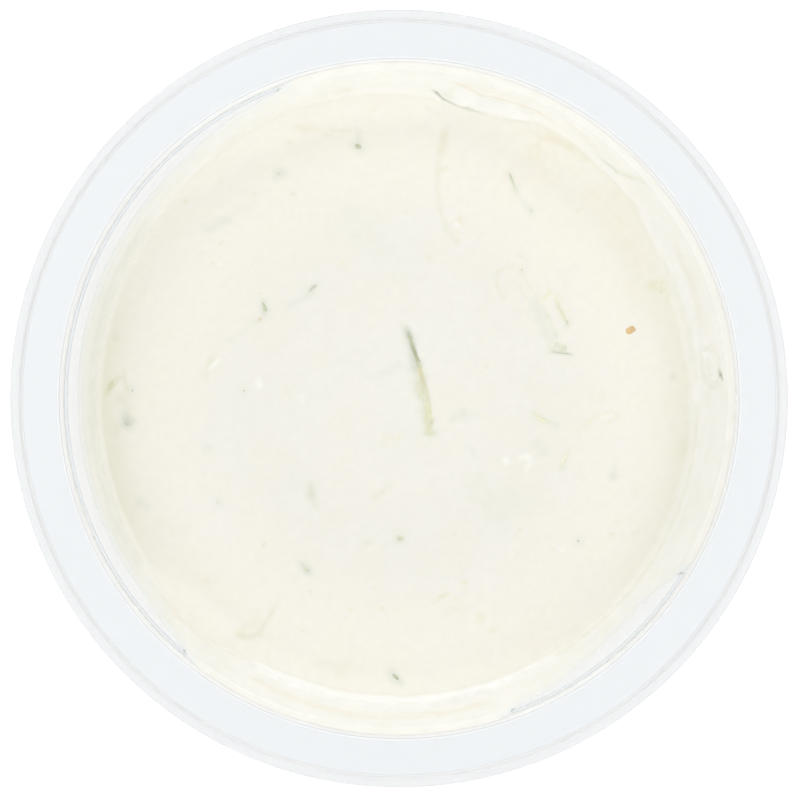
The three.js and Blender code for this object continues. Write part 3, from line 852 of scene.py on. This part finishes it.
BIT_THICKNESS = 0.3
BIT_LIFT = -0.1  # of a bit's middle over the dip
BIT_STEP = 0.22  # along a bit
ROUND = 14  # points round a bit
TURN = np.arange(ROUND) * 2 * math.pi / ROUND
CUCUMBER_SKIN = (176, 182, 150)
HERB = (188, 193, 166)
HERB_SOFT = (212, 215, 195)
FLESH = (221, 220, 199)
STREAK = (215, 210, 175)
# Bits: (colour at the start, colour at the end, x, y, half width, then the same three of more points).
CUCUMBER_BITS = [
    ((228, 229, 212), (221, 224, 202), 23.2, 8.3, 0.55, 24.4, 8.0, 0.75, 26.2, 7.5, 0.6),
    ((206, 210, 188), (202, 206, 183), 23.6, 7.25, 0.12, 25.2, 7.1, 0.2, 26.7, 6.85, 0.1),
    ((232, 231, 210), (226, 225, 200), 24.5, 15.3, 0.2, 24.9, 13.8, 0.34, 26.0, 11.8, 0.3),
    ((220, 220, 192), (226, 226, 202), -45.2, 1.2, 0.25, -44.5, 2.3, 0.4, -43.7, 3.2, 0.2),
    ((234, 233, 212), (230, 231, 212), 21.2, -2.6, 0.3, 22.2, -3.3, 0.34, 23.2, -3.6, 0.2),
    ((237, 235, 214), (234, 232, 210), 39.4, 17.9, 0.5, 40.4, 17.5, 0.6, 41.3, 16.6, 0.3),
    ((234, 233, 214), (228, 229, 206), 26.1, -8.4, 0.26, 25.4, -9.8, 0.24, 25.2, -10.8, 0.22),
]
HERB_BITS = [
    ((194, 198, 172), (208, 212, 190), -6.8, 39.5, 0.25, -6.3, 39.0, 0.48, -5.8, 38.7, 0.3),
    ((226, 228, 213), (224, 226, 210), -18.9, 35.1, 0.2, -18.5, 34.7, 0.35),
    ((208, 212, 192), (194, 199, 172), -14.1, 16.4, 0.16, -13.4, 17.1, 0.26, -12.8, 17.7, 0.16),
    ((198, 202, 178), (206, 210, 190), -21.2, 15.1, 0.12, -20.9, 14.3, 0.35, -20.6, 13.3, 0.55),
    ((218, 206, 178), (228, 218, 194), -21.3, 12.5, 0.15, -21.9, 12.1, 0.18),
    ((222, 224, 208), (194, 198, 174), -42.5, -2.7, 0.25, -42.2, -3.7, 0.4, -41.8, -4.1, 0.25),
    ((222, 224, 208), (206, 210, 189), -15.0, -25.7, 0.1, -14.4, -26.4, 0.3, -13.9, -26.8, 0.2),
    ((206, 211, 184), HERB_SOFT, -0.4, -21.7, 0.25, 0.3, -21.6, 0.45, 0.6, -21.9, 0.2),
    ((206, 210, 190), CUCUMBER_SKIN, -1.1, -42.6, 0.3, -0.6, -43.1, 0.34, -0.1, -43.7, 0.2),
    ((228, 229, 210), (219, 221, 201), -13.7, -14.0, 0.15, -13.4, -15.1, 0.28),
    (HERB, HERB, 27.6, -22.0, 0.15, 27.9, -22.1, 0.18),
    ((204, 209, 187), (224, 226, 208), 17.1, 35.0, 0.1, 17.5, 33.8, 0.17, 18.1, 32.2, 0.08),
    ((228, 229, 212), (226, 227, 210), 20.2, 29.3, 0.2, 20.6, 29.0, 0.22),
    (HERB_SOFT, HERB, -23.8, 1.2, 0.1, -24.2, 1.2, 0.14),
    (HERB, HERB, -41.4, 1.4, 0.1, -41.2, 1.1, 0.14),
    (HERB_SOFT, HERB, -28.2, -16.0, 0.13, -28.0, -16.2, 0.1),
    (HERB_SOFT, HERB_SOFT, 25.9, 12.2, 0.2, 26.1, 11.4, 0.2),
    ((206, 202, 176), HERB_SOFT, 19.1, 20.1, 0.14, 18.9, 19.8, 0.1),
]
CHILLI_BITS = [((226, 184, 112), (222, 178, 106), 35.1, 10.3, 0.5, 35.9, 10.6, 0.52, 36.6, 10.95, 0.46)]
CHILLI_LIFT = -0.02
STRIP_TRACK = [
    (1.35, 10.4, 0.22), (2.25, 7.8, 0.34), (3.1, 5.2, 0.34), (3.6, 3.0, 0.46), (4.05, 0.6, 0.6),
    (4.5, -2.2, 0.8), (4.65, -5.2, 0.92),
]
STRIP_THICKNESS = 0.36
STREAK_AT, STREAK_HALF = 0.46, 0.08  # middle and half length of the streak, as shares of the strip
SMEARS = [(195.5, 204.5, 0.95), (359.0, 361.5, 0.6)]  # (first and last angle, how far out over the bend)
SMEAR_THICKNESS = 0.07
SMEAR_POINTS = 9  # across a smear
WALL_BITS = 70  # bits pressed against the wall
WALL_BIT_LENGTHS = (0.5, 1.6)  # half lengths of herbs and of shreds
SIDE_R, SIDE_Z = np.array([tuple(q) for q in LOWER_SKIN if 2 < q.y < LEVEL and q.x > 33]).T


def along_track(track, count):
    """A smooth curve through the track's points."""
    track = np.asarray(track, float)
    padded = np.vstack([2 * track[0] - track[1], track, 2 * track[-1] - track[-2]])
    t = np.linspace(0, len(track) - 1, count)
    i = np.minimum(t.astype(int), len(track) - 2)
    f = (t - i)[:, None]
    a, b, c, d = padded[i], padded[i + 1], padded[i + 2], padded[i + 3]
    bend, twist = 2 * a - 5 * b + 4 * c - d, 3 * b - a - 3 * c + d
    return 0.5 * (2 * b + (c - a) * f + bend * f ** 2 + twist * f ** 3)


def bit(start, end, thickness, lift, track, seed):
    """Rings of points and colours of a soft, uneven bit lying along a track."""
    length = np.hypot(*np.diff(track[:, :2], axis=0).T).sum()
    count = max(9, int(length / BIT_STEP))
    path = along_track(track, count)
    step = np.gradient(path[:, :2], axis=0)
    step /= np.hypot(*step.T)[:, None]
    t = np.linspace(-1, 1, count)
    full = np.sqrt(1 - np.abs(t) ** 5)
    height = surface(path[:, 0], path[:, 1]) + lift
    rings, colours = [], []
    for k in range(count):
        uneven = 1 + 0.22 * ripple(k * BIT_STEP + seed * 7.1, TURN * 1.3, 0.6, 51)
        uneven = uneven + 0.1 * ripple(k + seed, TURN * 3, 1, 52)
        side = path[k, 2] * full[k] * np.cos(TURN) * uneven
        up = thickness / 2 * full[k] * np.sin(TURN) * uneven
        rings.append(np.stack([
            path[k, 0] - step[k, 1] * side, path[k, 1] + step[k, 0] * side, height[k] + up,
        ], 1))
        mix = smooth((t[k] + 1) / 2 + 0.12 * ripple(k * 0.3, TURN + seed, 0.7, 53))[:, None]
        colour = np.array(linear(*start)) * (1 - mix) + np.array(linear(*end)) * mix
        colours.append(colour * (1 + 0.1 * ripple(k * 0.5, TURN * 2 + seed, 0.8, 54))[:, None])
    return rings, np.clip(np.concatenate(colours), 0, 1)


def make_pieces(name, slot, rows, roughness, lift=BIT_LIFT):
    """One piece of all the bits in a table."""
    skins, colours = [], []
    for seed, (start, end, *track) in enumerate(rows):
        rings, tones = bit(start, end, BIT_THICKNESS, lift, np.reshape(track, (-1, 3)), seed)
        skins.append(rings)
        colours.append(tones)
    material = food_material(name, roughness, 0.15, 0.03)
    build(name, *join_skins(skins), slot, material, colours=np.concatenate(colours))


def make_strip():
    """The strip of cucumber: dark skin at its thin end, pale flesh at the other."""
    rings, _ = bit(CUCUMBER_SKIN, FLESH, STRIP_THICKNESS, BIT_LIFT, np.array(STRIP_TRACK), 3)
    skin, flesh, tan = (np.array(linear(*colour)) for colour in (CUCUMBER_SKIN, FLESH, STREAK))
    across = np.arange(ROUND)
    colours = []
    for k in range(len(rings)):
        share = k / len(rings)
        mix = smooth((share + 0.05 * ripple(k * 0.22, across * 0.4, 0.5, 61) - 0.23) / 0.18)[:, None]
        dark = skin * (1 + 0.14 * ripple(k * 0.2, across * 0.5, 0.6, 62))[:, None]
        light = flesh * (1 + 0.06 * ripple(k * 0.2, across * 0.6, 0.5, 63))[:, None]
        streak = smooth(2 - np.abs(across - ROUND / 4)) * smooth(2 - abs(share - STREAK_AT) / STREAK_HALF)
        light = light + (tan - light) * streak[:, None]
        colours.append(dark * (1 - mix) + light * mix)
    material = food_material("grated_strip", 0.3, 0.2, 0.05)
    shape = join_rings(rings)
    build("grated_strip", *shape, "cucumber", material, ["cucumber_strip"], np.concatenate(colours))


def make_smear():
    """Ragged smears of dip left on the bend at the mouth."""
    bend = [q for q in spaced(WALL_IN, SKIN_STEP) if -0.4 < q.x - MOUTH_RADIUS < 1.1 and q.y > LEDGE_Z + 0.6]
    bend_r, bend_z = np.array([tuple(q) for q in bend]).T
    skins = []
    for start, end, share in SMEARS:
        angles = np.linspace(start, end, max(12, int((end - start) * 6)))
        rings = []
        for angle in angles:
            t = (angle - start) / (end - start)
            ends = math.sqrt(max(1 - abs(2 * t - 1) ** 3, 0.01))
            far = share * ends * (0.8 + 0.35 * float(ripple(angle, 0, 1.8, 71)))
            near = 0.15 * (1 - ends) + 0.08 * float(ripple(angle, 5, 1.4, 72))
            along = np.clip(np.linspace(near, far, SMEAR_POINTS), 0, 1) * (len(bend) - 1)
            r, z = np.interp(along, range(len(bend)), bend_r), np.interp(along, range(len(bend)), bend_z)
            full = np.sin(np.linspace(0, math.pi, SMEAR_POINTS)) * SMEAR_THICKNESS
            full = full * (1 + 0.5 * ripple(angle, along, 1.5, 73))
            over = np.stack([r - 0.6 * full, np.minimum(z + 0.3 * full, TUB_HEIGHT - 0.01)], 1)
            under = np.stack([r + 0.03, z - 0.03], 1)[-2:0:-1]
            turn = math.radians(angle)
            rings.append([(a * math.cos(turn), a * math.sin(turn), b) for a, b in np.vstack([over, under])])
        skins.append(rings)
    points, faces = join_skins(skins)
    colours = np.broadcast_to(np.array(TINTS["smear"]), (len(points), 4))
    build("mouth_smear", points, faces, "dip", food_material("mouth_smear", 0.4, 0.1, 0.02), colours=colours)


def make_wall_bits():
    """Shreds and herbs pressed against the inside of the wall, seen from the sides."""
    draw = np.random.default_rng(81)
    skins, colours = [], []
    for seed in range(WALL_BITS):
        angle, height = draw.uniform(0, 2 * math.pi), draw.uniform(5.5, LEVEL - 1.5)
        half_length = draw.choice(WALL_BIT_LENGTHS) * draw.uniform(0.6, 1.5)
        half_width = draw.uniform(0.25, 0.55)
        lean = draw.uniform(-0.9, 0.9)
        start = np.array(linear(*(HERB if draw.uniform() < 0.4 else FLESH)))
        tone = start + (np.array(DIP) - start) * draw.uniform(0.1, 0.7)
        count = max(7, int(half_length / 0.12))
        rings = []
        for t in np.linspace(-1, 1, count):
            uneven = 1 + 0.25 * ripple(t * half_length + seed * 5, TURN * 1.4, 0.6, 82)
            full = math.sqrt(1 - abs(t) ** 4)
            across = half_width * full * np.cos(TURN) * uneven
            out = 0.11 * full * np.sin(TURN)
            x = t * half_length * math.cos(lean) - across * math.sin(lean)
            z = height + t * half_length * math.sin(lean) + across * math.cos(lean)
            r = np.interp(z, SIDE_Z, SIDE_R) - 0.05 + out
            a = angle + x / r
            rings.append(np.stack([r * np.cos(a), r * np.sin(a), z], 1))
        skins.append(rings)
        colours.append(np.tile(tone, (count * ROUND, 1)))
    material = food_material("wall_bits", 0.35, 0.15, 0.02)
    build("wall_bits", *join_skins(skins), "cucumber", material, colours=np.concatenate(colours))


def make_bits():
    make_pieces("cucumber_bits", "cucumber", CUCUMBER_BITS, 0.35)
    make_pieces("herb_bits", "herb", HERB_BITS, 0.4)
    make_pieces("chilli_flake", "chilli", CHILLI_BITS, 0.5, CHILLI_LIFT)


# ---------------------------------------------------------------- stage, light and camera

FLOOR = 4.0  # half its width, in metres
# Soft panels of light: (azimuth, half width, low edge, high edge, strength). Edges are sines of heights.
PANELS = [
    (120, 11, -0.2, 0.55, 0.9), (62, 13, -0.2, 0.55, 0.9), (268, 42, -0.2, 0.55, 0.9),
    (95, 75, 0.6, 0.85, 0.45),
]
PANEL_SIDE = 3  # degrees over which the side edges of a panel fade, both ways
PANEL_FADE = 0.2
HORIZON = 0.6  # strengths of the light from the horizon, from most of the sky and from straight above
SKY = 1.02
ZENITH = 0.8
CAMERA_DISTANCE = 550  # above the lip
CAMERA_PLACE = (0.13, -0.22)  # off the axis
FRAME_WIDTH = 121.38  # at the lip
SENSOR = 36


def make_stage():
    corners = [(-FLOOR, -FLOOR, 0), (FLOOR, -FLOOR, 0), (FLOOR, FLOOR, 0), (-FLOOR, FLOOR, 0)]
    mesh = bpy.data.meshes.new("floor")
    mesh.from_pydata(corners, [], [(0, 1, 2, 3)])
    floor = bpy.data.objects.new("floor", mesh)
    bpy.context.scene.collection.objects.link(floor)
    material, nodes, _ = new_material("floor")
    shader = nodes["Principled BSDF"]
    shader.inputs["Base Color"].default_value = (0.32, 0.32, 0.32, 1)
    shader.inputs["Roughness"].default_value = 1
    shader.inputs["Specular IOR Level"].default_value = 0
    shader.inputs["Emission Color"].default_value = (1, 1, 1, 1)
    shader.inputs["Emission Strength"].default_value = 0.8
    mesh.materials.append(material)


def make_world():
    world = bpy.data.worlds.new("studio")
    bpy.context.scene.world = world
    world.use_nodes = True
    nodes, links = world.node_tree.nodes, world.node_tree.links
    direction = nodes.new("ShaderNodeTexCoord").outputs["Generated"]

    def ramp(value, low, high, start, end):
        node = nodes.new("ShaderNodeMapRange")
        node.interpolation_type = "SMOOTHSTEP"
        links.new(value, node.inputs["Value"])
        for key, number in (("From Min", low), ("From Max", high), ("To Min", start), ("To Max", end)):
            node.inputs[key].default_value = number
        return node.outputs["Result"]

    def combine(kind, a, b):
        node = nodes.new("ShaderNodeMath")
        node.operation = kind
        links.new(a, node.inputs[0])
        links.new(b, node.inputs[1])
        return node.outputs[0]

    def vector(kind, value, other=(0, 0, 0), output="Vector"):
        node = nodes.new("ShaderNodeVectorMath")
        node.operation = kind
        links.new(value, node.inputs[0])
        node.inputs[1].default_value = other
        return node.outputs[output]

    parts = nodes.new("ShaderNodeSeparateXYZ")
    links.new(direction, parts.inputs[0])
    height = parts.outputs["Z"]
    heading = vector("NORMALIZE", vector("MULTIPLY", direction, (1, 1, 0)))
    light = combine("ADD", ramp(height, 0.0, 0.5, HORIZON, SKY), ramp(height, 0.8, 1.0, 0, ZENITH - SKY))
    for azimuth, half_width, low, high, strength in PANELS:
        a = math.radians(azimuth)
        facing = vector("DOT_PRODUCT", heading, (math.cos(a), math.sin(a), 0), "Value")
        outer, inner = (math.cos(math.radians(half_width + side)) for side in (PANEL_SIDE, -PANEL_SIDE))
        panel = ramp(facing, outer, inner, 0, strength)
        rise = ramp(height, low - PANEL_FADE, low + PANEL_FADE, 0, 1)
        fall = ramp(height, high - PANEL_FADE, high + PANEL_FADE, 1, 0)
        light = combine("ADD", light, combine("MULTIPLY", panel, combine("MULTIPLY", rise, fall)))
    background = nodes["Background"]
    background.inputs["Color"].default_value = (1, 1, 1, 1)
    links.new(light, background.inputs["Strength"])


def make_camera():
    """Straight above the tub, with the lens that fits the frame's width."""
    data = bpy.data.cameras.new("camera")
    data.sensor_width = SENSOR
    data.lens = SENSOR * CAMERA_DISTANCE / FRAME_WIDTH
    camera = bpy.data.objects.new("camera", data)
    lip = TUB_HEIGHT - SKIRT_DROP - WALL / 2
    camera.location = [c * MM for c in (*CAMERA_PLACE, lip + CAMERA_DISTANCE)]
    bpy.context.scene.collection.objects.link(camera)
    bpy.context.scene.camera = camera


make_tub()
make_dip()
make_strip()
make_bits()
make_smear()
make_wall_bits()
make_stage()
make_world()
make_camera()
bpy.context.scene.view_settings.view_transform = "Standard"
